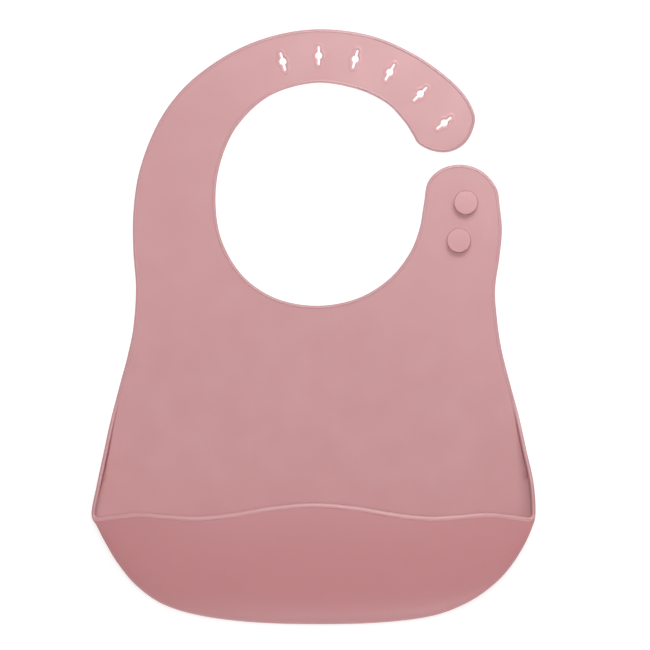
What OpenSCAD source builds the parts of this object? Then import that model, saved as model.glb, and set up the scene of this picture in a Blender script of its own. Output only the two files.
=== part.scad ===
// Silicone catch-all bib, lying on its back.
// +X runs to the right, +Y from the pocket towards the neck strap and +Z up from the table.
// The origin is on the table, under the middle of the bib's outline. All sizes are in millimetres.

/* [Sheet] */
// Thickness of the moulded sheet
sheet_t = 1.8; // [1.2:0.1:2.4]
// Height of the raised edge bead above the sheet
bead_h = 0.4; // [0.3:0.1:1.2]
// Width of the raised edge bead
bead_w = 1.9; // [1.2:0.1:2.5]
// Gap left between two bodies at a flex line
flex_gap = 0.3; // [0.2:0.05:0.5]

/* [Pocket] */
// Height of the pocket's outline at its two upper corners
corner_z = 21; // [14:1:24]
// Height of the pocket's outline at the middle of its bottom
belly_z = 8; // [6:1:12]
// Height of the rim above the table at its ends
rim_end_z = 24.5; // [24.5:0.5:28]
// Height of the rim above the table at the middle
rim_mid_z = 34; // [30:1:40]
// Width of the upturned curl at the pocket's corners
curl_side_w = 3.2; // [3:0.2:9]
// Width of the upturned curl at the middle of the bottom
curl_belly_w = 14; // [10:0.5:16]
// Depth of the rolled rim, measured along the sheet
rim_w = 2.2; // [1.6:0.1:2.4]

/* [Fastening] */
// Angle between two slots, and between the two studs, about the neck's centre
slot_pitch = 15; // [14.5:0.1:15.5]
// Length of a slot
slot_l = 10; // [8:0.5:11]
// Width of a slot's narrow arms
slot_w = 1.3; // [1:0.1:1.6]
// Diameter of a slot's round middle
slot_eye_d = 3.8; // [3:0.1:4.2]
// Width of the raised lip around a slot
lip_w = 1.4; // [0.8:0.1:1.6]
// Height of the raised lip above the sheet
lip_h = 0.3; // [0.2:0.1:0.4]
// Diameter of a stud's head
head_d = 12.5; // [11:0.5:13]
// Thickness of a stud's head
head_t = 2.2; // [1.6:0.1:2.6]
// Diameter of a stud's post
post_d = 4.4; // [3.8:0.1:5]
// Clear height under a stud's head
post_h = 2.6; // [2.4:0.1:3.2]

/* [Flex lines] */
// Where the strap lifts from the left shoulder
strap_y = 60; // [56:1:66]
// Where the stud tab lifts from the right shoulder
tab_y = 30; // [28:1:34]
// Angle about the neck's centre at which the strap's end curls
tip_angle = 67.5; // [66.5:0.5:68.5]

/* [Hidden] */
$fn = 48;

apron_pink = [0.79, 0.58, 0.59];
pocket_pink = [0.76, 0.53, 0.55];
strap_pink = [0.84, 0.68, 0.69];
rim_pink = [0.80, 0.62, 0.62];

neck_c = [2.3, 68.4];
neck_split_r = 72;
slot_c = [2.8, 68.3];
slot_first_angle = 105;
slot_first_r = 72;
slot_step_r = 0.65;
last_slot = 6;
last_slot_turn = 8;
stud_r = 77;
stud_upper_angle = -3;
tab_arc_c = [76, 63.1];
tab_arc_r = 21.1;
tip_arc_c = [67.2, 106.8];
tip_arc_r = 16.3;
steps = 4;
far = 400;
cut_low = -5;
cut_h = 20;
// The strap lies left of the first line and the tab right of the second, and neither reaches the third
strap_side_x = 20;
tab_side_x = 35;
collar_y = 87;

// The outline, counter-clockwise. Its first knot is the left end of the apron's fold line.
lower_knots = [
    [-100.6, -30], [-105.5, -49], [-109, -66], [-112.3, -82.2], [-115, -97],
    [-112.1, -103.7], [-107.7, -112.4], [-101.3, -123], [-91.8, -134.4], [-78, -144.1], [-58.5, -150.1],
    [-31, -153.6], [3, -154.6], [36, -153.6], [62, -150.1], [80, -143.2], [93.3, -134],
    [102, -124.7], [109, -113.7], [113.2, -104.4],
    [115.1, -97], [114.1, -81], [110.5, -64], [106.9, -47]
];
corner_left = 4;
corner_right = 20;
fold_y = lower_knots[0][1];
right_waist_knots = [
    [102.3, -30], [97.8, -12], [95.3, 5], [94.5, 20], [96.7, 36], [98, 50], [96.8, 63]
];
tab_knots = [for (a = [25:30:115]) tab_arc_c + tab_arc_r * [cos(a), sin(a)]];
neck_knots = [
    [59.6, 75.3], [57.4, 64], [55, 50.5], [49.5, 37.3], [38.5, 24], [22.2, 14.4], [1.5, 10.8], [-19.6, 14.7],
    [-36.8, 26.4], [-47.7, 44.8], [-50.9, 65], [-48.4, 85], [-39.7, 104.2], [-23, 119.8], [0, 126.6],
    [21.4, 123.8], [37.5, 116.4], [47, 106.8], [51.3, 100.3], [55, 94.7]
];
tip_knots = [for (a = [255:30:345]) tip_arc_c + tip_arc_r * [cos(a), sin(a)]];
strap_knots = [
    [83.7, 110.4], [78.1, 121], [67.2, 131.5], [50.8, 142.5], [30, 151.2], [5, 154.6],
    [-18.5, 151.8], [-40.8, 143.5], [-61.1, 130], [-74.4, 115.9], [-83.7, 99.9], [-90.7, 80],
    [-93.6, 60], [-93.7, 40], [-92.3, 20], [-93.6, 0], [-96.6, -15.1]
];
knots = concat(lower_knots, right_waist_knots, tab_knots, neck_knots, tip_knots, strap_knots);

// The rim's upper line, from the left corner to the right one
rim_knots = [
    [-114, -101.6], [-103, -100.2], [-90, -99], [-75, -100.1], [-60, -100.8], [-42, -99],
    [-22, -95.6], [0, -93.8], [22, -95.6], [42, -99], [60, -100.8], [75, -100.1], [90, -99],
    [103, -100.2], [114, -101.6]
];

function spline_point(a, b, c, d, t) = 0.5 * (
    2 * b + (c - a) * t + (2 * a - 5 * b + 4 * c - d) * t * t + (3 * b - a - 3 * c + d) * t * t * t);

function closed_spline(p) = [
    for (i = [0:len(p) - 1], k = [0:steps - 1])
    spline_point(p[(i + len(p) - 1) % len(p)], p[i], p[(i + 1) % len(p)], p[(i + 2) % len(p)], k / steps)
];

// The point of a list of knots, sorted by x, at one x
function spline_at(p, x, i = 0) =
    i >= len(p) - 2 || x <= p[i + 1][0]
        ? spline_point(p[max(i - 1, 0)], p[i], p[i + 1], p[min(i + 2, len(p) - 1)],
            (x - p[i][0]) / (p[i + 1][0] - p[i][0]))[1]
        : spline_at(p, x, i + 1);

outline = closed_spline(knots);
function outline_at(i) = outline[(i + len(outline)) % len(outline)];
function unit(v) = v / norm(v);
// The direction into the sheet at one point of the outline
function inward(i) = let (d = unit(outline_at(i + 1) - outline_at(i - 1))) [-d[1], d[0]];
function smooth(t) = let (c = min(max(t, 0), 1)) c * c * (3 - 2 * c);

bead_line = [for (i = [0:len(outline) - 1]) outline[i] + inward(i) * bead_w];

// The upturned curl: its width and its outline's height at point i
half_w = 115;
curl_start_y = -38;
curl_full_y = -88;
min_curl_w = 3;
min_curl_z = 2.4;
function rise(i) = smooth((curl_start_y - outline_at(i)[1]) / (curl_start_y - curl_full_y));
function side_share(i) = pow(abs(outline_at(i)[0]) / half_w, 2.5);
function curl_w(i) = min_curl_w
    + rise(i) * (curl_belly_w - min_curl_w - (curl_belly_w - curl_side_w) * side_share(i));
function curl_z(i) = min_curl_z
    + rise(i) * (belly_z - min_curl_z + (corner_z - belly_z) * side_share(i));
function junction(i) = outline_at(i) + inward(i) * curl_w(i);

first_i = 0;
left_i = corner_left * steps;
right_i = corner_right * steps;
last_i = len(lower_knots) * steps;
curl_steps = 5;

// A quarter ellipse from the flat sheet up to the outline, inset by d
function curl_point(i, d, k) =
    let (a = 90 * k / curl_steps, xy = junction(i) - inward(i) * (curl_w(i) - d) * sin(a))
    [xy[0], xy[1], d == 0 ? curl_z(i) * (1 - cos(a)) : curl_z(i) - (curl_z(i) - sheet_t) * cos(a)];
function curl_ring(i) = concat(
    [for (k = [0:curl_steps]) curl_point(i, 0, k)],
    [for (k = [curl_steps:-1:0]) curl_point(i, sheet_t, k)]);

function side_bead_ring(i) =
    let (p = outline_at(i), foot = p + inward(i) * sheet_t, top = p + inward(i) * bead_w, z = curl_z(i))
    [[p[0], p[1], z], [p[0], p[1], z + bead_h], [top[0], top[1], z + bead_h], [foot[0], foot[1], z]];

// The pocket's front wall. Each station has one x, and runs from the outline up to the rim.
wall_steps = 8;
wall_stations = 36;
wall_half = 114;
wall_round = 2.2;
wall_straight_share = 0.45;
bottom_points = [for (i = [left_i:right_i]) outline_at(i)];
function bottom_index(x, i = 0) =
    i >= len(bottom_points) - 2 || x <= bottom_points[i + 1][0] ? i : bottom_index(x, i + 1);
function bottom_share(x, i) =
    (x - bottom_points[i][0]) / (bottom_points[i + 1][0] - bottom_points[i][0]);
function mix(a, b, t) = a + (b - a) * t;
function wall_x(s) = wall_half * sin(90 * (2 * s / wall_stations - 1));
function rim_z(x) = mix(rim_end_z, rim_mid_z, 1 - pow(abs(x) / wall_half, 2.6));
function wall_rise(v) =
    mix(pow(1 - pow(1 - v, wall_round), 1 / wall_round), v, wall_straight_share);
function wall_ring(s) =
    let (
        x = wall_x(s),
        i = bottom_index(x),
        t = bottom_share(x, i),
        foot = mix(bottom_points[i], bottom_points[i + 1], t),
        foot_in = foot + mix(inward(left_i + i), inward(left_i + i + 1), t) * sheet_t,
        foot_z = mix(curl_z(left_i + i), curl_z(left_i + i + 1), t) + flex_gap,
        rim = [x, spline_at(rim_knots, x)]
    )
    concat(
        [for (k = [0:wall_steps])
            let (v = k / wall_steps, xy = mix(foot, rim, v))
            [xy[0], xy[1], mix(foot_z, rim_z(x), wall_rise(v))]],
        [for (k = [wall_steps:-1:0])
            let (v = k / wall_steps, xy = mix(foot_in, rim, v))
            [xy[0], xy[1], mix(foot_z, rim_z(x) - sheet_t, wall_rise(v))]]);

function rim_ring(s) =
    let (x = wall_x(s), y = spline_at(rim_knots, x), z = rim_z(x), low = z - sheet_t, r = rim_w)
    [[x, y, low], [x, y, z], [x, y + 0.3 * r, z + 0.35], [x, y + 0.75 * r, z + 0.1],
     [x, y + r, z - sheet_t / 2], [x, y + 0.75 * r, low - 0.1], [x, y + 0.3 * r, low - 0.15]];

// A closed solid through a list of rings that all have the same number of points. Its four-sided
// facets are split along one diagonal or, if turned, along the other, so that two lofts can share a face.
module loft(rings, turned = false) {
    n = len(rings[0]);
    last = len(rings) - 1;
    points = [for (ring = rings) each ring];
    sides = [
        for (i = [0:last - 1], j = [0:n - 1])
        let (a = i * n + j, b = i * n + (j + 1) % n, c = a + n, d = b + n)
        each turned ? [[a, c, d], [a, d, b]] : [[a, c, b], [b, c, d]]
    ];
    start = [for (j = [0:n - 1]) j];
    end = [for (j = [n - 1:-1:0]) last * n + j];
    polyhedron(points, concat(sides, [start, end]));
}

function polar(centre, r, a) = centre + r * [cos(a), sin(a)];

// The prism of the whole outline between two heights
module blank(low, high) {
    translate([0, 0, low])
        linear_extrude(high - low) polygon(outline);
}

// The raised bead around the whole outline
module bead_loop() {
    difference() {
        blank(sheet_t, sheet_t + bead_h);
        translate([0, 0, sheet_t - 1])
            linear_extrude(bead_h + 2) polygon(bead_line);
    }
}

// A box, tall enough to cut the flat sheet and its beads, grown a little above and below
module cutter(x, y, w, d, grow = 0) {
    translate([x, y, cut_low - grow]) cube([w, d, cut_h + 2 * grow]);
}
// Zones that keep one part of the outline
module upper_zone() {
    difference() {
        cutter(-far / 2, fold_y + flex_gap, far, far);
        cutter(strap_side_x - far, strap_y, far, far, 1);
        cutter(strap_side_x, tab_y, far, far, 1);
    }
}
module tab_zone() { cutter(tab_side_x, tab_y + flex_gap, far, collar_y - tab_y - flex_gap); }
// Everything clockwise of the line at which the strap's end curls, less the gap
module beyond_tip_line(gap) {
    translate([neck_c[0], neck_c[1], 0])
        rotate(tip_angle) cutter(0, -far - gap, far, far);
}
module strap_zone() {
    difference() {
        cutter(-far / 2, strap_y + flex_gap, far, far);
        beyond_tip_line(0);
        cutter(tab_side_x, 0, far, collar_y, 1);
    }
}
module tip_zone() {
    intersection() {
        beyond_tip_line(flex_gap);
        cutter(0, collar_y, far, far);
    }
}
module inside_neck() {
    translate([neck_c[0], neck_c[1], cut_low]) cylinder(r = neck_split_r, h = cut_h);
}
module left_half() { cutter(-far, -far / 2, far, far); }
module right_half() { cutter(0, -far / 2, far, far); }

module slot_shape(extra, height) {
    w = slot_w + 2 * extra;
    arm = slot_l / 2 - slot_w / 2;
    translate([-arm, -w / 2, 0]) cube([2 * arm, w, height]);
    for (side = [-1, 1]) translate([side * arm, 0, 0]) cylinder(d = w, h = height);
    cylinder(d = slot_eye_d + 2 * extra, h = height);
}
module at_slot(n) {
    a = slot_first_angle - slot_pitch * (n - 1);
    p = polar(slot_c, slot_first_r + slot_step_r * (n - 1), a);
    translate([p[0], p[1], 0]) rotate(n == last_slot ? a + last_slot_turn : a) children();
}
module slot_cut(n) {
    at_slot(n) translate([0, 0, -1]) slot_shape(0, sheet_t + lip_h + 2);
}
module slot_lip(n) {
    color(strap_pink)
        difference() {
            at_slot(n) translate([0, 0, sheet_t]) slot_shape(lip_w, lip_h);
            slot_cut(n);
        }
}
module at_stud(n) {
    p = polar(neck_c, stud_r, stud_upper_angle - slot_pitch * n);
    translate([p[0], p[1], sheet_t]) children();
}
module stud_post(n) {
    color(strap_pink) at_stud(n) cylinder(d = post_d, h = post_h);
}
module stud_head(n) {
    edge = head_t * 0.3;
    r = head_d / 2;
    color(strap_pink)
        at_stud(n) translate([0, 0, post_h]) rotate_extrude()
            polygon([[0, 0], [r - edge, 0], [r, edge], [r, head_t - edge], [r - edge, head_t], [0, head_t]]);
}

module apron_lower() {
    color(apron_pink)
        linear_extrude(sheet_t) polygon([for (i = [first_i:last_i]) junction(i)]);
}
module side_wall_left() { color(apron_pink) loft([for (i = [first_i:left_i]) curl_ring(i)]); }
module side_wall_right() { color(apron_pink) loft([for (i = [right_i:last_i]) curl_ring(i)]); }
module side_bead_left() { color(rim_pink) loft([for (i = [first_i:left_i]) side_bead_ring(i)], true); }
module side_bead_right() { color(rim_pink) loft([for (i = [right_i:last_i]) side_bead_ring(i)], true); }
module pocket_base() { color(pocket_pink) loft([for (i = [left_i:right_i]) curl_ring(i)]); }
module pocket_wall() { color(pocket_pink) loft([for (s = [0:wall_stations]) wall_ring(s)]); }
module pocket_rim() { color(rim_pink) loft([for (s = [0:wall_stations]) rim_ring(s)]); }

module apron_upper() {
    color(apron_pink) intersection() { blank(0, sheet_t); upper_zone(); }
}
module waist_bead_left() {
    color(rim_pink)
        intersection() {
            difference() { bead_loop(); inside_neck(); }
            upper_zone();
            left_half();
        }
}
module waist_bead_right() {
    color(rim_pink)
        intersection() {
            difference() { bead_loop(); inside_neck(); }
            upper_zone();
            right_half();
        }
}
module neck_bead() {
    color(rim_pink) intersection() { bead_loop(); upper_zone(); inside_neck(); }
}
module neck_strap() {
    color(strap_pink)
        difference() {
            intersection() { blank(0, sheet_t); strap_zone(); }
            for (n = [1:3]) slot_cut(n);
        }
}
module strap_bead_outer() {
    color(strap_pink) difference() { intersection() { bead_loop(); strap_zone(); } inside_neck(); }
}
module strap_bead_inner() {
    color(strap_pink) intersection() { bead_loop(); strap_zone(); inside_neck(); }
}
module strap_tip() {
    color(strap_pink)
        difference() {
            intersection() { blank(0, sheet_t); tip_zone(); }
            for (n = [4:6]) slot_cut(n);
        }
}
module strap_tip_bead() { color(strap_pink) intersection() { bead_loop(); tip_zone(); } }
module stud_tab() { color(strap_pink) intersection() { blank(0, sheet_t); tab_zone(); } }
module stud_tab_bead() { color(strap_pink) intersection() { bead_loop(); tab_zone(); } }

apron_lower();
side_wall_left();
side_wall_right();
side_bead_left();
side_bead_right();
pocket_base();
pocket_wall();
pocket_rim();
apron_upper();
waist_bead_left();
waist_bead_right();
neck_bead();
neck_strap();
strap_bead_outer();
strap_bead_inner();
slot_lip(1);  // slot_lip_1
slot_lip(2);  // slot_lip_2
slot_lip(3);  // slot_lip_3
strap_tip();
strap_tip_bead();
slot_lip(4);  // slot_lip_4
slot_lip(5);  // slot_lip_5
slot_lip(6);  // slot_lip_6
stud_tab();
stud_tab_bead();
stud_post(0);  // stud_post_upper
stud_post(1);  // stud_post_lower
stud_head(0);  // stud_head_upper
stud_head(1);  // stud_head_lower
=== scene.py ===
"""A silicone catch-all bib that lies on its back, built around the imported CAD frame.

Plan outlines are in millimetres in the frame's own X and Y, and become metres when a mesh is made.
The sheet's thickness, the pocket's heights, the studs' sizes and the places of studs and slots are
read from the frame.
"""
import math

import bmesh
import bpy
import numpy as np
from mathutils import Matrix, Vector
from mathutils.geometry import delaunay_2d_cdt


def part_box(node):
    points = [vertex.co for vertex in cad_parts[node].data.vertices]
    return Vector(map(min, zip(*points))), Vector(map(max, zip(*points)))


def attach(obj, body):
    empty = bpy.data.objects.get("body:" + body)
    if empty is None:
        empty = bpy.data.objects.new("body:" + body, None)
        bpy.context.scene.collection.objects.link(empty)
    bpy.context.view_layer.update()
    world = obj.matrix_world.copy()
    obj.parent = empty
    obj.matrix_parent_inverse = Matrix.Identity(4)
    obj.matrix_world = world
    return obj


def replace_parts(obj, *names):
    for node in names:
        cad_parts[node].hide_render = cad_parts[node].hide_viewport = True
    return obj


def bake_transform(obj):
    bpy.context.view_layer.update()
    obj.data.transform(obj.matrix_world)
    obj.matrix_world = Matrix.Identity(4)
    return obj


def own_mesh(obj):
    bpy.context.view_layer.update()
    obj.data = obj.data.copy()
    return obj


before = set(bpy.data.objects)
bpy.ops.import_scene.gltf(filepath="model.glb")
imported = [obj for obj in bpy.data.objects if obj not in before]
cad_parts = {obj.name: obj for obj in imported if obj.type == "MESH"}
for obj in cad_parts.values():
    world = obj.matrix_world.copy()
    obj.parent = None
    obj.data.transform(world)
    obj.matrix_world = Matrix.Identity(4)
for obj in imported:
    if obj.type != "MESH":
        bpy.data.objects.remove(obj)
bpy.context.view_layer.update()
MM = 0.001


# ---------------------------------------------------------------- sizes from the frame
def top_of(node):
    """The highest point of a CAD node, in millimetres."""
    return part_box(node)[1][2] / MM


def centre_of(node):
    """The plan centre of a CAD node's box, in millimetres."""
    low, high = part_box(node)
    return np.array([low[0] + high[0], low[1] + high[1]]) / 2 / MM


SHEET_T = top_of("apron_upper")

# Edge bead on the flat sheet: radius, height to width, and height above the sheet
BEAD_R = 1.05
BEAD_FLAT = 0.72
BEAD_UP = 0.13
BEAD_OUT = 0.02  # past the outline, so that bead and sheet share no face

# The same bead on the upturned sides
SIDE_R = 1.08
SIDE_UP = 0.6
SIDE_END_Y = -97.9

# Rolled rim of the pocket
RIM_R = 1.3
RIM_FLAT = 0.9
RIM_UP = 0.85
RIM_START_X = 111.6
RIM_MID_Z = top_of("pocket_rim") - RIM_UP / 2
RIM_CREST = 2.6  # the higher, the flatter the rim's crest

# Sheet's edge: its height and plan width at the bottom's middle and at the pocket's corners
BELLY_Z = 8.0
CORNER_Z = top_of("pocket_base")
CORNER_Y = -101.2
CURL_BELLY_W = 14.0
CURL_SIDE_W = 1.6
CURL_SPREAD = 2.5  # the higher, the closer to the corners the sides begin
CURL_START_Y = -38.0
CURL_FULL_Y = -88.0
CURL_ROUND = 2.0  # exponent of the curl's section: 2 is an ellipse
EDGE_W = 3.0
EDGE_ROUND = 6.0  # the same exponent where the sheet lies flat
EDGE_SHARE = 0.6  # most of the curl's width that the sheet's thickness takes

# Front wall: how steep its foot is, and how much of its rise is straight
WALL_FOOT = 2.2
WALL_STRAIGHT = 0.3

NECK = np.array([2.3, 68.4])

# Slots, which point at SLOT_C: length and width of the arms, radius of the round middle
SLOTS = ["slot_lip_%d" % n for n in range(1, 7)]
SLOT_C = np.array([2.8, 68.3])
LAST_SLOT_TURN = 8.0
SLOT_L = 10.0
SLOT_W = 1.3
SLOT_EYE_R = 1.85

# Studs: post, flare at its foot, rounding of the head's edges, and height of the head's crown
# above its top at shares of its radius
STUD_POST_R = 2.2
STUD_FLARE = 1.2
STUD_SINK = 0.4
STUD_NECK = 0.3
STUD_EDGE = 0.4
STUD_CROWN = [(0.8, 0.0), (0.4, 0.08), (0.0, 0.1)]

# ---------------------------------------------------------------- outline
# Counter-clockwise from the left end of the apron's fold line
POCKET_KNOTS = [
    (-100.6, -30), (-105.5, -49), (-109, -66), (-112.3, -82.2), (-115, -97),
    (-112.1, -103.7), (-107.7, -112.4), (-101.3, -123), (-91.8, -134.4), (-78, -144.1),
    (-58.5, -150.1), (-31, -153.6), (3, -154.6), (36, -153.6), (62, -150.1), (80, -143.2),
    (93.3, -134), (102, -124.7), (109, -113.7), (113.2, -104.4),
    (115.1, -97), (114.1, -81), (110.5, -64), (106.9, -47),
]
RIGHT_KNOTS = [
    (102.3, -30), (97.8, -12), (95.3, 5), (94.5, 20), (96.7, 36), (98, 50), (96.8, 63),
]
NECK_KNOTS = [
    (59.6, 75.3), (57.4, 64), (55, 50.5), (49.5, 37.3), (38.5, 24), (22.2, 14.4), (1.5, 10.8),
    (-19.6, 14.7), (-36.8, 26.4), (-47.7, 44.8), (-50.9, 65), (-48.4, 85), (-39.7, 104.2),
    (-23, 119.8), (0, 126.6), (21.4, 123.8), (37.5, 116.4), (47, 106.8), (51.3, 100.3), (55, 94.7),
]
STRAP_KNOTS = [
    (83.7, 110.4), (78.1, 121), (67.2, 131.5), (50.8, 142.5), (30, 151.2), (5, 154.6),
    (-18.5, 151.8), (-40.8, 143.5), (-61.1, 130), (-74.4, 115.9), (-83.7, 99.9), (-90.7, 80),
    (-93.6, 60), (-93.7, 40), (-92.3, 20), (-93.6, 0), (-96.6, -15.1),
]
RIM_KNOTS = [
    (-115.2, -101.6), (-103, -100.2), (-90, -99), (-75, -100.1), (-60, -100.8), (-42, -99),
    (-22, -95.6), (0, -93.8), (22, -95.6), (42, -99), (60, -100.8), (75, -100.1), (90, -99),
    (103, -100.2), (115.2, -101.6),
]
STEPS = 16


def arc(centre, radius, angles):
    """Points on an arc, at angles in degrees."""
    turns = [math.radians(a) for a in angles]
    return [(centre[0] + radius * math.cos(t), centre[1] + radius * math.sin(t)) for t in turns]


def catmull(a, b, c, d, t):
    """A point between b and c on the smooth curve through a, b, c and d."""
    square = 2 * a - 5 * b + 4 * c - d
    cube = 3 * b - a - 3 * c + d
    return 0.5 * (2 * b + (c - a) * t + square * t**2 + cube * t**3)


def closed_curve(knots):
    """A smooth closed curve through the knots, with STEPS points for each."""
    p = np.array(knots, float)
    t = np.arange(STEPS)[:, None] / STEPS
    n = len(p)
    parts = [catmull(p[i - 1], p[i], p[(i + 1) % n], p[(i + 2) % n], t) for i in range(n)]
    return np.concatenate(parts)


def height_on(knots, x):
    """The second coordinate of the smooth open curve through knots sorted by x, at one x."""
    p = np.array(knots, float)
    i = int(np.clip(np.searchsorted(p[:, 0], x) - 1, 0, len(p) - 2))
    t = (x - p[i, 0]) / (p[i + 1, 0] - p[i, 0])
    return catmull(p[max(i - 1, 0)], p[i], p[i + 1], p[min(i + 2, len(p) - 1)], t)[1]


TAB_KNOTS = arc((76, 63.1), 21.1, range(25, 116, 30))
TIP_KNOTS = arc((67.2, 106.8), 16.3, range(255, 346, 30))
OUTLINE = closed_curve(
    POCKET_KNOTS + RIGHT_KNOTS + TAB_KNOTS + NECK_KNOTS + TIP_KNOTS + STRAP_KNOTS
)
COUNT = len(OUTLINE)
TANGENT = np.roll(OUTLINE, -1, 0) - np.roll(OUTLINE, 1, 0)
TANGENT /= np.linalg.norm(TANGENT, axis=1)[:, None]
INWARD = np.stack([-TANGENT[:, 1], TANGENT[:, 0]], 1)

POCKET_END = len(POCKET_KNOTS) * STEPS
TAB_START = POCKET_END + len(RIGHT_KNOTS) * STEPS
NECK_START = TAB_START + len(TAB_KNOTS) * STEPS
TIP_START = NECK_START + len(NECK_KNOTS) * STEPS
STRAP_START = TIP_START + len(TIP_KNOTS) * STEPS


def nearest(start, end, measure):
    """The index of the outline between start and end where measure(point) is closest to 0."""
    return start + int(np.argmin([abs(measure(p)) for p in OUTLINE[start:end]]))


def run(start, end):
    """Indices along the outline from start to end, counter-clockwise."""
    return [i % COUNT for i in range(start, end + 1 if end >= start else end + COUNT + 1)]


def neck_angle(point):
    """The angle of a point about the neck's centre, in degrees."""
    return math.degrees(math.atan2(point[1] - NECK[1], point[0] - NECK[0]))


# Where one piece ends and the next begins: always in a stretch that does not bend
LOW_SEAM_Y = -36.0
TAB_SEAM_Y = 20.0
STRAP_SEAM_Y = 48.0
TIP_SEAM_ANGLE = 70.2
LOW_LEFT = nearest(0, 2 * STEPS, lambda p: p[1] - LOW_SEAM_Y)
LOW_RIGHT = nearest(POCKET_END - 2 * STEPS, POCKET_END, lambda p: p[1] - LOW_SEAM_Y)
TAB_OUT = nearest(POCKET_END, TAB_START, lambda p: p[1] - TAB_SEAM_Y)
TAB_IN = nearest(NECK_START, NECK_START + 6 * STEPS, lambda p: p[1] - TAB_SEAM_Y)
STRAP_IN = nearest(NECK_START + 7 * STEPS, TIP_START, lambda p: p[1] - STRAP_SEAM_Y)
TIP_IN = nearest(NECK_START + 12 * STEPS, TIP_START, lambda p: neck_angle(p) - TIP_SEAM_ANGLE)
TIP_OUT = nearest(STRAP_START, STRAP_START + 8 * STEPS, lambda p: neck_angle(p) - TIP_SEAM_ANGLE)
STRAP_OUT = nearest(STRAP_START + 8 * STEPS, COUNT, lambda p: p[1] - STRAP_SEAM_Y)
CORNER_LEFT = nearest(0, POCKET_END // 2, lambda p: p[1] - CORNER_Y)
CORNER_RIGHT = nearest(POCKET_END // 2, POCKET_END, lambda p: p[1] - CORNER_Y)
SIDE_END_LEFT = nearest(0, POCKET_END // 2, lambda p: p[1] - SIDE_END_Y)
SIDE_END_RIGHT = nearest(POCKET_END // 2, POCKET_END, lambda p: p[1] - SIDE_END_Y)
CORNER_X = OUTLINE[CORNER_RIGHT, 0]


# ---------------------------------------------------------------- surface
def smooth(t):
    """An even step from 0 to 1."""
    t = min(max(t, 0.0), 1.0)
    return t * t * (3 - 2 * t)


def mix(a, b, t):
    """A value between a and b."""
    return a + (b - a) * t


def rise(i):
    """How far the edge has curled up at outline point i: 0 where it lies flat, 1 at the pocket."""
    if i >= POCKET_END:
        return 0.0
    return smooth((CURL_START_Y - OUTLINE[i, 1]) / (CURL_START_Y - CURL_FULL_Y))


def side_share(i):
    """0 at the middle of the pocket's bottom and 1 at its upper corners."""
    return min(1.0, abs(OUTLINE[i, 0]) / CORNER_X) ** CURL_SPREAD


def edge_z(i):
    """Height of the sheet's outer edge at outline point i."""
    return mix(SHEET_T, mix(BELLY_Z, CORNER_Z, side_share(i)), rise(i))


def edge_w(i):
    """Plan width of the curl at outline point i."""
    return mix(EDGE_W, mix(CURL_BELLY_W, CURL_SIDE_W, side_share(i)), rise(i))


CURL_ROWS = 12
WALL_ROWS = 26
WALL_ROW_SPREAD = 1.6  # rows lie closer together at the wall's foot


def place(i, inset, z):
    """A point at a height, inset from outline point i."""
    return (*(OUTLINE[i] + INWARD[i] * inset), z)


def curl_rows(i, under):
    """Points from the flat sheet up to the edge, on the underside or on the inside of the curl."""
    power = 2 / mix(EDGE_ROUND, CURL_ROUND, rise(i))
    width, height = edge_w(i), edge_z(i)
    edge, low = (0.0, 0.0) if under else (min(SHEET_T, width * EDGE_SHARE), SHEET_T)
    rows = []
    for k in range(CURL_ROWS + 1):
        a = math.pi / 2 * k / CURL_ROWS
        across = math.sin(a) ** power
        down = max(math.cos(a), 0.0) ** power
        rows.append(place(i, width - (width - edge) * across, height - (height - low) * down))
    return rows


def rim_z(x):
    """Height of the sheet at the rim of the pocket."""
    return mix(CORNER_Z, RIM_MID_Z, 1 - min(1.0, abs(x) / CORNER_X) ** RIM_CREST)


def wall_rise(v):
    """Share of the wall's rise at share v of its plan length: steep at its foot, then gentler."""
    return mix((1 - (1 - v) ** WALL_FOOT) ** (1 / WALL_FOOT), v, WALL_STRAIGHT)


def wall_grid():
    """The front wall's outer face: one column of points for each outline point of the pocket."""
    grid = []
    for i in run(CORNER_LEFT, CORNER_RIGHT):
        foot = OUTLINE[i]
        rim = np.array([foot[0], height_on(RIM_KNOTS, foot[0]) + RIM_R])
        if i in (CORNER_LEFT, CORNER_RIGHT):
            rim = foot
        column = []
        for k in range(WALL_ROWS + 1):
            v = (k / WALL_ROWS) ** WALL_ROW_SPREAD
            z = mix(edge_z(i), max(rim_z(foot[0]), edge_z(i)), wall_rise(v))
            column.append((*mix(foot, rim, v), z))
        grid.append(column)
    return np.array(grid)


NO_LENGTH = 1e-9


def offset_inside(grid):
    """The wall's inner face: the outer one moved by the sheet's thickness along its normals."""
    along = np.gradient(grid, axis=0)
    up = np.gradient(grid, axis=1)
    normal = np.cross(up, along)
    length = np.linalg.norm(normal, axis=2, keepdims=True)
    normal = np.divide(normal, length, out=np.zeros_like(normal), where=length > NO_LENGTH)
    normal *= np.where(normal[:, :, 2:] > 0, -1, 1)
    inside = grid + normal * SHEET_T
    for n, i in enumerate(run(CORNER_LEFT, CORNER_RIGHT)):
        inside[n, 0] = curl_rows(i, False)[-1]
    inside[0], inside[-1] = inside[0, 0], inside[-1, 0]
    return inside


# ---------------------------------------------------------------- meshes
MERGE_M = 2e-6
TINY_EDGE_M = 1e-6


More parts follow.
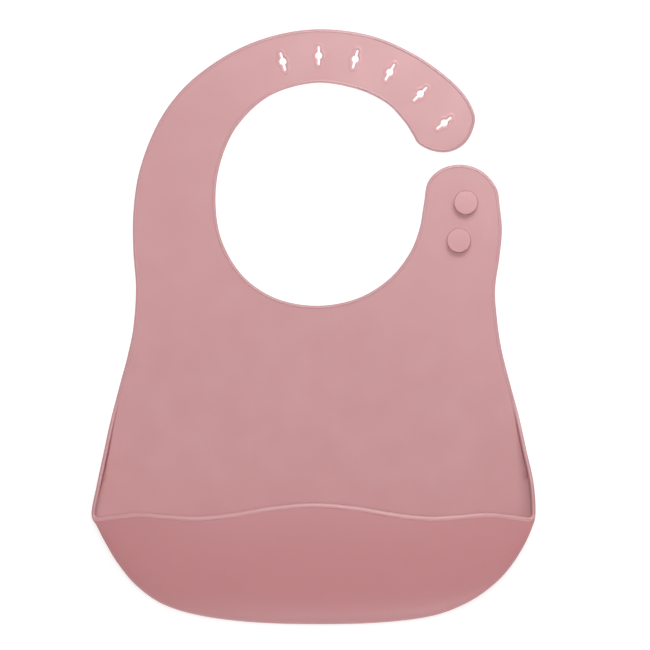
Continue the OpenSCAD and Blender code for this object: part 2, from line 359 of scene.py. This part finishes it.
def make_object(name, points, faces, crease_deg=40.0):
    """A closed, smooth-shaded object from points in millimetres, with sharp edges past an angle."""
    mesh = bpy.data.meshes.new(name)
    mesh.from_pydata([Vector(p) * MM for p in points], [], faces)
    bm = bmesh.new()
    bm.from_mesh(mesh)
    bmesh.ops.remove_doubles(bm, verts=bm.verts, dist=MERGE_M)
    bmesh.ops.dissolve_degenerate(bm, edges=bm.edges, dist=TINY_EDGE_M)
    bmesh.ops.recalc_face_normals(bm, faces=bm.faces)
    for face in bm.faces:
        face.smooth = True
    for edge in bm.edges:
        if len(edge.link_faces) == 2 and edge.calc_face_angle(0.0) > math.radians(crease_deg):
            edge.smooth = False
    bm.to_mesh(mesh)
    bm.free()
    obj = bpy.data.objects.new(name, mesh)
    bpy.context.scene.collection.objects.link(obj)
    return obj


class Builder:
    """Collects points and faces of one piece."""

    def __init__(self):
        self.points = []
        self.faces = []

    def add(self, points):
        """Adds points and returns the index of the first."""
        start = len(self.points)
        self.points.extend(tuple(float(c) for c in p) for p in points)
        return start

    def grid(self, rows, closed=False):
        """Adds a grid of quads through equal rows of points."""
        starts = [self.add(row) for row in rows]
        width = len(rows[0])
        pairs = list(zip(starts, starts[1:]))
        if closed:
            pairs.append((starts[-1], starts[0]))
        for a, b in pairs:
            for k in range(width - 1):
                self.faces.append((a + k, a + k + 1, b + k + 1, b + k))

    def cap(self, points):
        """Adds one face through a loop of points."""
        start = self.add(points)
        self.faces.append(tuple(range(start, start + len(points))))


def inside_loop(points, loop):
    """Which of the points lie inside a closed loop."""
    x, y = points[:, 0:1], points[:, 1:2]
    a, b = loop, np.roll(loop, -1, 0)
    spans = (a[:, 1] > y) != (b[:, 1] > y)
    with np.errstate(divide="ignore", invalid="ignore"):
        cross = (b[:, 0] - a[:, 0]) * (y - a[:, 1]) / (b[:, 1] - a[:, 1]) + a[:, 0]
    return ((spans & (x < cross)).sum(1) % 2) == 1


GRID_STEP = 3.0
SEAM_STEP = 2.0
MIN_AREA = 1e-3
SAME_POINT = 1e-6


def fill(builder, loops):
    """Fills the first loop less the others with triangles, on the back and on the front."""
    outer = loops[0]
    low, high = outer.min(0), outer.max(0)
    xs = np.arange(low[0], high[0], GRID_STEP)
    ys = np.arange(low[1], high[1], GRID_STEP)
    grid = np.array([(x + (n % 2) * GRID_STEP / 2, y) for n, y in enumerate(ys) for x in xs])
    keep = inside_loop(grid, outer)
    for hole in loops[1:]:
        keep &= ~inside_loop(grid, hole)
    for loop in loops:
        near = np.linalg.norm(grid[:, None] - loop[None], axis=2).min(1)
        keep &= near > GRID_STEP / 2
    points = np.concatenate([*loops, grid[keep]])
    edges, start = [], 0
    for loop in loops:
        n = len(loop)
        edges += [(start + k, start + (k + 1) % n) for k in range(n)]
        start += n
    found = delaunay_2d_cdt([Vector(p) for p in points], edges, [], 0, SAME_POINT)
    spots = np.array([tuple(p) for p in found[0]])
    triangles = np.array(found[2])
    a, b, c = (spots[triangles[:, n]] for n in range(3))
    one, two = b - a, c - a
    area = np.abs(one[:, 0] * two[:, 1] - one[:, 1] * two[:, 0]) / 2
    centres = spots[triangles].mean(1)
    solid = inside_loop(centres, outer) & (area > MIN_AREA)
    for hole in loops[1:]:
        solid &= ~inside_loop(centres, hole)
    for z, turn in ((0.0, -1), (SHEET_T, 1)):
        first = builder.add([(x, y, z) for x, y in spots])
        for triangle in triangles[solid]:
            builder.faces.append(tuple(int(first + v) for v in triangle[::turn]))


def seam(builder, a, b):
    """The cut face from outline point a to b, and the plan points between the two."""
    ends = [np.array(place(i, edge_w(i), 0.0)[:2]) for i in (a, b)]
    steps = max(2, int(np.linalg.norm(ends[1] - ends[0]) / SEAM_STEP))
    line = [mix(ends[0], ends[1], k / steps) for k in range(steps + 1)]
    builder.grid([[(x, y, 0.0), (x, y, SHEET_T)] for x, y in line])
    for i in (a, b):
        builder.cap(border(i))
    return line[1:-1]


def border(i):
    """The section of the sheet's edge at outline point i, from the flat back to the flat front."""
    return curl_rows(i, True) + curl_rows(i, False)[::-1]


SLOT_END_POINTS = 9
SLOT_EYE_POINTS = 11


def slot_plan(extra):
    """The plan of a slot that lies along X, widened by extra: narrow arms with a round middle."""
    half, eye = SLOT_W / 2 + extra, SLOT_EYE_R + extra
    arm = (SLOT_L - SLOT_W) / 2
    start = math.asin(half / eye)
    end_turns = np.linspace(0, math.pi / 2, SLOT_END_POINTS)
    eye_turns = np.linspace(start, math.pi / 2, SLOT_EYE_POINTS)
    quarter = [(arm + half * math.cos(t), half * math.sin(t)) for t in end_turns]
    quarter += [(eye * math.cos(t), eye * math.sin(t)) for t in eye_turns]
    left = [(-x, y) for x, y in quarter[-2::-1]]
    upper = quarter + left
    lower = [(x, -y) for x, y in upper[-2:0:-1]]
    return np.array(upper + lower)


# Plan distance from a slot's edge, and height above the sheet's back
SLOT_PROFILE = [
    (1.9, 0.0), (0.15, 0.0), (0.0, 0.15), (0.0, 1.0), (0.0, 1.73), (0.05, 1.81), (0.16, 1.85),
    (0.9, 1.87), (1.15, 1.865), (1.35, 1.845), (1.5, 1.82), (1.6, SHEET_T), (1.9, SHEET_T),
]


def add_slot(builder, node):
    """Adds the edge and raised lip of the slot at one CAD node, and returns its outer plan."""
    centre = centre_of(node)
    x, y = centre - SLOT_C
    angle = math.atan2(y, x) + (math.radians(LAST_SLOT_TURN) if node == SLOTS[-1] else 0.0)
    spin = np.array([[math.cos(angle), -math.sin(angle)], [math.sin(angle), math.cos(angle)]])
    plans = [slot_plan(d) @ spin.T + centre for d, _ in SLOT_PROFILE]
    heights = [z for _, z in SLOT_PROFILE]
    rows = [[(*p, z) for p, z in zip(around, heights)] for around in zip(*plans)]
    builder.grid(rows, closed=True)
    return plans[-1]


def flat_piece(name, edges, slots=()):
    """A flat piece of sheet bounded by runs of the outline, with straight seams between them."""
    builder = Builder()
    loop = []
    for n, (start, end) in enumerate(edges):
        stretch = run(start, end)
        builder.grid([border(i) for i in stretch])
        loop += [place(i, edge_w(i), 0.0)[:2] for i in stretch]
        loop += seam(builder, end, edges[(n + 1) % len(edges)][0])
    loops = [np.array(loop)] + [add_slot(builder, node) for node in slots]
    fill(builder, loops)
    return make_object(name, builder.points, builder.faces)


def pocket_piece(name):
    """The lower apron, its upturned sides and the trough as one closed skin, and its rim's line."""
    builder = Builder()
    for start, end in ((LOW_LEFT, CORNER_LEFT), (CORNER_RIGHT, LOW_RIGHT)):
        builder.grid([border(i) for i in run(start, end)])
    outer = wall_grid()
    inner = offset_inside(outer)
    rows = []
    for n, i in enumerate(run(CORNER_LEFT, CORNER_RIGHT)):
        wall = list(outer[n, 1:]) + list(inner[n, :0:-1])
        rows.append(curl_rows(i, True) + wall + curl_rows(i, False)[::-1])
    builder.grid(rows)
    stretch = run(LOW_LEFT, LOW_RIGHT)
    loop = [place(i, edge_w(i), 0.0)[:2] for i in stretch] + seam(builder, LOW_RIGHT, LOW_LEFT)
    fill(builder, [np.array(loop)])
    through = (outer[:, -1] - inner[:, -1]) / SHEET_T
    rim = outer[:, -1] + through * (RIM_UP - RIM_R)
    return make_object(name, builder.points, builder.faces), rim


TUBE_SIDES = 16
ROUND_END_ANGLES = (84, 60, 36, 15)


def tube(name, path, radii, flats):
    """A bead with rounded ends along a path, with a radius and a height to width at each point."""
    path, radii = np.array(path, float), np.array(radii, float)
    heading = np.gradient(path, axis=0)
    heading /= np.linalg.norm(heading, axis=1)[:, None]
    side = np.cross(heading, (0.0, 0.0, 1.0))
    side /= np.linalg.norm(side, axis=1)[:, None]
    up = np.cross(side, heading)
    angles = np.linspace(0, 2 * math.pi, TUBE_SIDES + 1)
    up *= np.array(flats, float)[:, None]
    stations = list(zip(path, radii, heading, side, up))
    turns = [math.radians(a) for a in ROUND_END_ANGLES]
    p, r, h, *rest = stations[0]
    start = [(p - h * r * math.sin(t), r * math.cos(t), h, *rest) for t in turns]
    p, r, h, *rest = stations[-1]
    end = [(p + h * r * math.sin(t), r * math.cos(t), h, *rest) for t in turns[::-1]]
    builder = Builder()
    rings = [
        [p + r * (s * math.cos(a) + u * math.sin(a)) for a in angles]
        for p, r, _, s, u in start + stations + end
    ]
    builder.grid(rings)
    builder.cap(rings[0][:-1])
    builder.cap(rings[-1][:-1])
    return make_object(name, builder.points, builder.faces, crease_deg=60.0)


def bead_stations(start, end):
    """Centre points, radii and flatness of the bead along the outline, sunk in the sheet's edge."""
    path, radii, flats = [], [], []
    for i in run(start, end):
        radius, up = mix(BEAD_R, SIDE_R, rise(i)), mix(BEAD_UP, SIDE_UP, rise(i))
        flat = mix(BEAD_FLAT, 1.0, rise(i))
        path.append(place(i, radius - BEAD_OUT, edge_z(i) + up - radius * flat))
        radii.append(radius)
        flats.append(flat)
    return path, radii, flats


def edge_bead(name, start, end):
    """The raised bead along a run of the outline."""
    return tube(name, *bead_stations(start, end))


TURN_STEPS = 8


def turn(start, end):
    """Points round the pocket's corner, from the end of a side bead to the start of the rim."""
    a, c = np.array(start), np.array(end)
    b = np.array([a[0], c[1], (a[2] + c[2]) / 2])
    ts = np.linspace(0, 1, TURN_STEPS + 1)[1:-1]
    return [(1 - t) ** 2 * a + 2 * t * (1 - t) * b + t**2 * c for t in ts]


def rim_stations(line):
    """Centre points, radii and flatness of the rim, with a tight turn at each pocket corner."""
    middle = [p for p in line if abs(p[0]) < RIM_START_X]
    left = bead_stations(SIDE_END_LEFT, SIDE_END_LEFT)[0][0]
    right = bead_stations(SIDE_END_RIGHT, SIDE_END_RIGHT)[0][0]
    first, last = turn(left, middle[0]), turn(right, middle[-1])[::-1]
    path = [np.array(left), *first, *middle, *last, np.array(right)]
    grow = list(np.linspace(0, 1, len(first) + 1))
    share = grow + [1] * len(middle) + grow[::-1]
    radii = [mix(SIDE_R, RIM_R, g) for g in share]
    flats = [mix(1.0, RIM_FLAT, g) for g in share]
    return path, radii, flats


LATHE_SIDES = 64


def lathe(name, centre, profile):
    """A closed solid of revolution about an upright axis, from (radius, height) points."""
    builder = Builder()
    rings = []
    for k in range(LATHE_SIDES):
        a = 2 * math.pi * k / LATHE_SIDES
        x, y = math.cos(a), math.sin(a)
        rings.append([(centre[0] + r * x, centre[1] + r * y, z) for r, z in profile])
    builder.grid(rings, closed=True)
    return make_object(name, builder.points, builder.faces, crease_deg=50.0)


def stud(name, head_node):
    """A stud: a flared post and a flat head with a soft edge."""
    low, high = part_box(head_node)
    radius = (high[0] - low[0]) / 2 / MM
    under, top = low[2] / MM, high[2] / MM
    foot, rim = STUD_POST_R + STUD_FLARE, radius - STUD_EDGE
    flare = [
        (foot - STUD_FLARE * math.sin(a), SHEET_T + STUD_FLARE * (1 - math.cos(a)))
        for a in np.linspace(0, math.pi / 2, 6)
    ]
    lower = [
        (rim + STUD_EDGE * math.cos(a), under + STUD_EDGE * (1 + math.sin(a)))
        for a in np.linspace(-math.pi / 2, 0, 5)
    ]
    upper = [
        (rim + STUD_EDGE * math.cos(a), top - STUD_EDGE * (1 - math.sin(a)))
        for a in np.linspace(0, math.pi / 2, 7)
    ]
    profile = [(0, SHEET_T - STUD_SINK), (foot, SHEET_T - STUD_SINK), *flare]
    profile += [(STUD_POST_R, under - STUD_NECK), (STUD_POST_R + STUD_NECK, under), *lower, *upper]
    profile += [(radius * share, top + height) for share, height in STUD_CROWN]
    return lathe(name, centre_of(head_node), profile)


# ---------------------------------------------------------------- materials
SILICONE = {
    "IOR": 1.41,
    "Specular IOR Level": 0.9,
    "Subsurface Weight": 0.12,
    "Subsurface Radius": (1.0, 0.35, 0.3),
    "Subsurface Scale": 0.0015,
}
# Scale and detail of each noise
CLOUD_NOISE = (14.0, 3.0)
GLOSS_NOISE = (60.0, 4.0)
GRAIN_NOISE = (2600.0, 2.0)
TONE_SPREAD = 0.009
TONE_STOPS = (0.3, 0.7)
ROUGHNESS = 0.5
GLOSS_SPREAD = 0.05
GRAIN = {"Strength": 0.12, "Distance": 0.0001}


def set_inputs(node, values):
    """Sets sockets of a node by name."""
    for name, value in values.items():
        node.inputs[name].default_value = value


def silicone(name, colour):
    """Matte moulded silicone: faint cloudy tone, fine satin grain and slightly uneven gloss."""
    material = bpy.data.materials.new(name)
    material.use_nodes = True
    nodes, links = material.node_tree.nodes, material.node_tree.links
    shader = nodes["Principled BSDF"]
    set_inputs(shader, SILICONE)
    position = nodes.new("ShaderNodeTexCoord").outputs["Object"]

    def noise(scale, detail):
        node = nodes.new("ShaderNodeTexNoise")
        set_inputs(node, {"Scale": scale, "Detail": detail})
        links.new(position, node.inputs["Vector"])
        return node.outputs["Fac"]

    tone = nodes.new("ShaderNodeValToRGB")
    factors = (1 - TONE_SPREAD, 1 + TONE_SPREAD)
    for element, stop, factor in zip(tone.color_ramp.elements, TONE_STOPS, factors):
        element.position = stop
        element.color = (*[c * factor for c in colour], 1)
    links.new(noise(*CLOUD_NOISE), tone.inputs["Fac"])
    links.new(tone.outputs["Color"], shader.inputs["Base Color"])

    spread = nodes.new("ShaderNodeMapRange")
    set_inputs(spread, {"To Min": ROUGHNESS - GLOSS_SPREAD, "To Max": ROUGHNESS + GLOSS_SPREAD})
    links.new(noise(*GLOSS_NOISE), spread.inputs["Value"])
    links.new(spread.outputs["Result"], shader.inputs["Roughness"])

    bump = nodes.new("ShaderNodeBump")
    set_inputs(bump, GRAIN)
    links.new(noise(*GRAIN_NOISE), bump.inputs["Height"])
    links.new(bump.outputs["Normal"], shader.inputs["Normal"])
    return material


def paint(obj, material):
    """Gives a piece its material."""
    obj.data.materials.clear()
    obj.data.materials.append(material)
    return obj


# One silicone of one colour: the rolled edges and the rim are painted paler, as painted highlight, and
# the bead round the strap's end darker, as painted shade
SKIN = silicone("silicone_skin", (0.52, 0.215, 0.225))
# Painted highlight: the beads are painted paler than the skin for the light their rounded tops catch
BEAD_PAINTED_HIGHLIGHT = silicone("silicone_bead_painted_highlight", (0.52, 0.255, 0.268))
# Painted shade: the bead round the strap's end is painted darker than the other beads, and meets the
# strap's bead at a hard step in colour
END_BEAD_PAINTED_SHADE = silicone("silicone_end_bead_painted_shade", (0.4, 0.19, 0.205))
# Painted highlight: the rim is painted paler than the skin for the light its rolled top catches
RIM_PAINTED_HIGHLIGHT = silicone("silicone_rim_painted_highlight", (0.59, 0.295, 0.303))


def bend(obj):
    """Bakes a piece's placement into its mesh."""
    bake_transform(obj)
    return obj


def press(obj):
    """Hangs a piece of the pocket on the root body and gives it a mesh of its own."""
    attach(obj, "root")
    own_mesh(obj)
    return obj


pocket, rim_line = pocket_piece("pocket_and_lower_apron")
press(paint(pocket, SKIN))
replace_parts(pocket, "apron_lower", "side_wall_left", "side_wall_right", "pocket_base", "pocket_wall")

rim = press(paint(tube("pocket_rim_roll", *rim_stations(rim_line)), RIM_PAINTED_HIGHLIGHT))
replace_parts(rim, "pocket_rim")

for side, start, end in (("left", LOW_LEFT, SIDE_END_LEFT), ("right", SIDE_END_RIGHT, LOW_RIGHT)):
    bead = press(paint(edge_bead("pocket_side_roll_" + side, start, end), BEAD_PAINTED_HIGHLIGHT))
    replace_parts(bead, "side_bead_" + side)

upper_edges = [(LOW_RIGHT, TAB_OUT), (TAB_IN, STRAP_IN), (STRAP_OUT, LOW_LEFT)]
upper = paint(flat_piece("upper_apron_skin", upper_edges), SKIN)
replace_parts(bend(upper), "apron_upper")
for side, start, end in (("left", STRAP_OUT, LOW_LEFT), ("right", LOW_RIGHT, TAB_OUT)):
    bead = paint(edge_bead("waist_roll_" + side, start, end), BEAD_PAINTED_HIGHLIGHT)
    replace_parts(bend(bead), "waist_bead_" + side)
neck = paint(edge_bead("neck_roll", TAB_IN, STRAP_IN), BEAD_PAINTED_HIGHLIGHT)
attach(neck, "upper_apron")
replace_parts(neck, "neck_bead")

strap_edges = [(STRAP_IN, TIP_IN), (TIP_OUT, STRAP_OUT)]
strap = paint(flat_piece("neck_strap_skin", strap_edges, SLOTS[:3]), SKIN)
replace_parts(bend(strap), "neck_strap", *SLOTS[:3])
for side, start, end in (("inner", STRAP_IN, TIP_IN), ("outer", TIP_OUT, STRAP_OUT)):
    bead = paint(edge_bead("strap_roll_" + side, start, end), BEAD_PAINTED_HIGHLIGHT)
    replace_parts(bend(bead), "strap_bead_" + side)

tip = paint(flat_piece("strap_end_skin", [(TIP_IN, TIP_OUT)], SLOTS[3:]), SKIN)
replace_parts(bend(tip), "strap_tip", *SLOTS[3:])
tip_bead = paint(edge_bead("strap_end_roll", TIP_IN, TIP_OUT), END_BEAD_PAINTED_SHADE)
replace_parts(bend(tip_bead), "strap_tip_bead")

tab = paint(flat_piece("stud_tab_skin", [(TAB_OUT, TAB_IN)]), SKIN)
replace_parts(bend(tab), "stud_tab")
tab_bead = paint(edge_bead("stud_tab_roll", TAB_OUT, TAB_IN), BEAD_PAINTED_HIGHLIGHT)
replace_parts(bend(tab_bead), "stud_tab_bead")

for level in ("upper", "lower"):
    button = paint(stud("stud_" + level, "stud_head_" + level), SKIN)
    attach(button, "tab")
    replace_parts(button, "stud_head_" + level, "stud_post_" + level)


# ---------------------------------------------------------------- stage, light and camera
FLOOR_HALF = 30.0
FLOOR_Z = -0.0002  # just under the bib, so that the two share no face
FLOOR_LOOK = {
    "Base Color": (0.45, 0.45, 0.45, 1),
    "Roughness": 1.0,
    "Specular IOR Level": 0.0,
    "Emission Color": (1, 1, 1, 1),
}
# Distances from the bib, and the floor's glow at them
FLOOR_GLOW = {"From Min": 0.5, "From Max": 4.0, "To Min": 0.7, "To Max": 0.85}


def make_floor():
    """A plain white floor that glows a little, and more in the distance where less light falls."""
    mesh = bpy.data.meshes.new("floor")
    signs = ((-1, -1), (1, -1), (1, 1), (-1, 1))
    corners = [(x * FLOOR_HALF, y * FLOOR_HALF, FLOOR_Z) for x, y in signs]
    mesh.from_pydata(corners, [], [(0, 1, 2, 3)])
    floor = bpy.data.objects.new("floor", mesh)
    bpy.context.scene.collection.objects.link(floor)
    material = bpy.data.materials.new("floor_white")
    material.use_nodes = True
    nodes, links = material.node_tree.nodes, material.node_tree.links
    shader = nodes["Principled BSDF"]
    set_inputs(shader, FLOOR_LOOK)
    position = nodes.new("ShaderNodeTexCoord").outputs["Object"]
    distance = nodes.new("ShaderNodeVectorMath")
    distance.operation = "LENGTH"
    links.new(position, distance.inputs[0])
    glow = nodes.new("ShaderNodeMapRange")
    set_inputs(glow, FLOOR_GLOW)
    links.new(distance.outputs["Value"], glow.inputs["Value"])
    links.new(glow.outputs["Result"], shader.inputs["Emission Strength"])
    mesh.materials.append(material)


def area_light(name, location, size, radiance, aim=(0, 0, 0), gloss_only=False):
    """A soft square light. Its power follows from its size and brightness."""
    data = bpy.data.lights.new(name, "AREA")
    data.shape = "SQUARE"
    data.size = size
    data.energy = radiance * math.pi * size**2
    light = bpy.data.objects.new(name, data)
    light.location = location
    light.rotation_euler = (Vector(aim) - Vector(location)).to_track_quat("-Z", "Y").to_euler()
    light.visible_camera = False
    light.visible_diffuse = not gloss_only
    bpy.context.scene.collection.objects.link(light)


def make_world(strength):
    """Even white light from all round."""
    world = bpy.data.worlds.new("studio")
    world.use_nodes = True
    background = world.node_tree.nodes["Background"]
    set_inputs(background, {"Color": (1, 1, 1, 1), "Strength": strength})
    bpy.context.scene.world = world


CAMERA_Z = 6.0
CAMERA_REACH = 100.0
VIEW_CENTRE = (0.006, 0.0008)
VIEW_WIDTH = 0.338
SENSOR_MM = 36.0


def make_camera():
    """A long lens straight above the bib."""
    data = bpy.data.cameras.new("camera")
    data.sensor_width = SENSOR_MM
    data.lens = SENSOR_MM * CAMERA_Z / VIEW_WIDTH
    data.clip_end = CAMERA_REACH
    camera = bpy.data.objects.new("camera", data)
    camera.location = (*VIEW_CENTRE, CAMERA_Z)
    bpy.context.scene.collection.objects.link(camera)
    bpy.context.scene.camera = camera


make_floor()
make_world(0.2)
area_light("overhead", (0, 0.1, 3.0), size=0.5, radiance=46.3)
area_light("key", (0.45, 2.1, 3.7), size=1.7, radiance=8.0)
area_light("fill", (0.4, -2.2, 0.45), size=0.8, radiance=6.4)
area_light("sheen", (0.16, 0.3, 0.3), size=0.3, radiance=9.6, aim=(0.16, 0.3, 0), gloss_only=True)
bpy.context.scene.view_settings.view_transform = "Standard"
make_camera()
